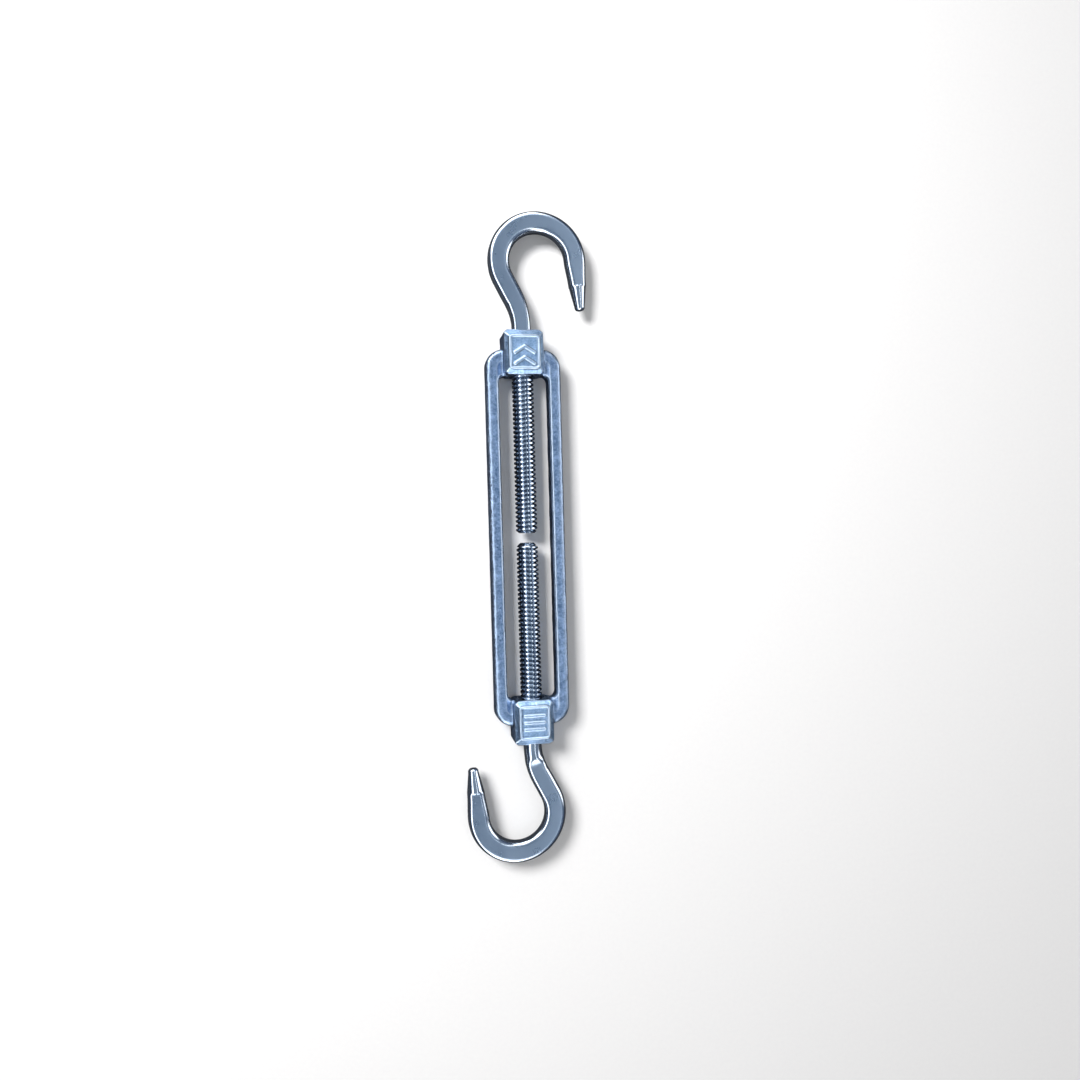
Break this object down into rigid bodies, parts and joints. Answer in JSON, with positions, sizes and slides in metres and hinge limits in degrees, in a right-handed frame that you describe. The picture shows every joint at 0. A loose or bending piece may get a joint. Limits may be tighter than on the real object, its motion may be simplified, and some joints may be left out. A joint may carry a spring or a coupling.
{
  "type": "turnbuckle",
  "caption": "Open-body rigging turnbuckle: a cast frame whose opposite-hand threaded bosses draw hook-ended rods in or let them out to set tension.",
  "frame": {"origin": "middle of the cast frame, on the thread axis, which is the middle of the whole part's box at rest", "axes": "+Y along the thread axis towards the right-hand threaded end, +Z out of the front that carries the boss marks, +X to the side that the right-hand hook opens to"},
  "size_m": [0.0396, 0.1854, 0.0114],
  "materials": {
    "cast_stainless": "cast stainless steel, tumbled to a fine satin grain",
    "polished_stainless": "rolled and bent stainless steel rod, polished"
  },
  "bodies": {
    "frame": {"frame": "cast_stainless"},
    "right_hand_screw": {"right_hand_screw": "polished_stainless"},
    "right_hand_hook": {"right_hand_hook": "polished_stainless"},
    "left_hand_screw": {"left_hand_screw": "polished_stainless"},
    "left_hand_hook": {"left_hand_hook": "polished_stainless"}
  },
  "joints": [
    {"name": "right_hand_travel", "type": "slide", "parent": "frame", "child": "right_hand_screw", "axis": [0, 1, 0], "range_m": [-0.00064, 0.04318]},
    {"name": "right_hand_turn", "type": "hinge", "parent": "right_hand_screw", "child": "right_hand_hook", "pos_m": [0, 0.0593, 0], "axis": [0, 1, 0], "range_deg": [-181, 12241]},
    {"name": "left_hand_travel", "type": "slide", "parent": "frame", "child": "left_hand_screw", "axis": [0, -1, 0], "range_m": [-0.00064, 0.04318]},
    {"name": "left_hand_turn", "type": "hinge", "parent": "left_hand_screw", "child": "left_hand_hook", "pos_m": [0, -0.0593, 0], "axis": [0, 1, 0], "range_deg": [-181, 12241]}
  ],
  "couplings": [
    {"joint": "right_hand_turn", "follows": "right_hand_travel", "rad_per_m": 4947.4},
    {"joint": "left_hand_turn", "follows": "left_hand_travel", "rad_per_m": 4947.4}
  ]
}
